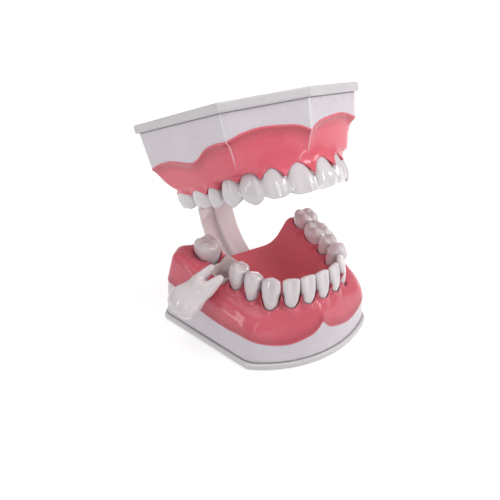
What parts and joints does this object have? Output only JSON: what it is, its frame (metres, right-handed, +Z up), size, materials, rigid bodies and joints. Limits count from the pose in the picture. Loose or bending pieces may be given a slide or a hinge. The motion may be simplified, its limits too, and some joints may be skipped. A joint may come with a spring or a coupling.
{
  "type": "typodont model",
  "caption": "Oversize hinged dental teaching model: upper and lower jaws on a curved strap, pink gums, removable lower teeth with roots.",
  "frame": {"origin": "on the underside of the lower base plate, on the midline", "axes": "+Z up from the table, +X to the viewer's right facing the incisors, -Y towards the incisors"},
  "size_m": [0.1726, 0.183, 0.1819],
  "materials": {
    "base_white": "gloss",
    "gum_pink": "gloss",
    "socket_white": "satin",
    "tooth_white": "gloss",
    "strap_white": "satin",
    "steel": "zinc plated"
  },
  "bodies": {
    "lower_jaw": {"lower_base_plate": "base_white", "lower_base_shell": "base_white", "lower_socket_block": "socket_white", "lower_gum": "gum_pink", "lower_plate_screws": "steel", "lower_arm": "strap_white", "lower_arm_screws": "steel", "hinge_bolt": "steel", "hinge_nut": "steel", "hinge_washers": "steel"},
    "upper_jaw": {"upper_cap_plate": "base_white", "upper_base_shell": "base_white", "upper_gum": "gum_pink", "upper_teeth_row": "tooth_white", "upper_cap_screws": "steel", "upper_arm": "strap_white", "upper_arm_screws": "steel"},
    "right_central_incisor_body": {"lower_right_central_incisor": "tooth_white"},
    "right_lateral_incisor_body": {"lower_right_lateral_incisor": "tooth_white"},
    "right_canine_body": {"lower_right_canine": "tooth_white"},
    "right_first_premolar_body": {"lower_right_first_premolar": "tooth_white"},
    "right_second_premolar_body": {"lower_right_second_premolar": "tooth_white"},
    "right_first_molar_body": {"lower_right_first_molar": "tooth_white"},
    "right_second_molar_body": {"lower_right_second_molar": "tooth_white"},
    "left_central_incisor_body": {"lower_left_central_incisor": "tooth_white"},
    "left_lateral_incisor_body": {"lower_left_lateral_incisor": "tooth_white"},
    "left_canine_body": {"lower_left_canine": "tooth_white"},
    "left_first_premolar_body": {"lower_left_first_premolar": "tooth_white"},
    "left_second_premolar_body": {"lower_left_second_premolar": "tooth_white"},
    "left_first_molar_body": {"lower_left_first_molar": "tooth_white"},
    "left_second_molar_body": {"lower_left_second_molar": "tooth_white"}
  },
  "joints": [
    {"name": "jaw_hinge", "type": "hinge", "parent": "lower_jaw", "child": "upper_jaw", "pos_m": [0, 0.119, 0.062], "axis": [-1, 0, 0], "range_deg": [-21, 39]},
    {"name": "right_central_incisor_pull", "type": "slide", "parent": "lower_jaw", "child": "right_central_incisor_body", "axis": [0, 0, 1], "range_m": [0, 0.028]},
    {"name": "right_lateral_incisor_pull", "type": "slide", "parent": "lower_jaw", "child": "right_lateral_incisor_body", "axis": [0, 0, 1], "range_m": [0, 0.028]},
    {"name": "right_canine_pull", "type": "slide", "parent": "lower_jaw", "child": "right_canine_body", "axis": [0, 0, 1], "range_m": [0, 0.028]},
    {"name": "right_first_premolar_pull", "type": "slide", "parent": "lower_jaw", "child": "right_first_premolar_body", "axis": [0, 0, 1], "range_m": [0, 0.028]},
    {"name": "right_second_premolar_pull", "type": "slide", "parent": "lower_jaw", "child": "right_second_premolar_body", "axis": [0, 0, 1], "range_m": [0, 0.028]},
    {"name": "right_first_molar_lift", "type": "slide", "parent": "lower_jaw", "child": "right_first_molar_body", "axis": [-0.5836, -0.3768, 0.7193], "range_m": [0, 0.05]},
    {"name": "right_second_molar_pull", "type": "slide", "parent": "lower_jaw", "child": "right_second_molar_body", "axis": [0, 0, 1], "range_m": [0, 0.024]},
    {"name": "left_central_incisor_pull", "type": "slide", "parent": "lower_jaw", "child": "left_central_incisor_body", "axis": [0, 0, 1], "range_m": [0, 0.028]},
    {"name": "left_lateral_incisor_pull", "type": "slide", "parent": "lower_jaw", "child": "left_lateral_incisor_body", "axis": [0, 0, 1], "range_m": [0, 0.028]},
    {"name": "left_canine_pull", "type": "slide", "parent": "lower_jaw", "child": "left_canine_body", "axis": [0, 0, 1], "range_m": [0, 0.028]},
    {"name": "left_first_premolar_pull", "type": "slide", "parent": "lower_jaw", "child": "left_first_premolar_body", "axis": [0, 0, 1], "range_m": [0, 0.028]},
    {"name": "left_second_premolar_pull", "type": "slide", "parent": "lower_jaw", "child": "left_second_premolar_body", "axis": [0, 0, 1], "range_m": [0, 0.028]},
    {"name": "left_first_molar_pull", "type": "slide", "parent": "lower_jaw", "child": "left_first_molar_body", "axis": [0, 0, 1], "range_m": [0, 0.028]},
    {"name": "left_second_molar_pull", "type": "slide", "parent": "lower_jaw", "child": "left_second_molar_body", "axis": [0, 0, 1], "range_m": [0, 0.024]}
  ]
}
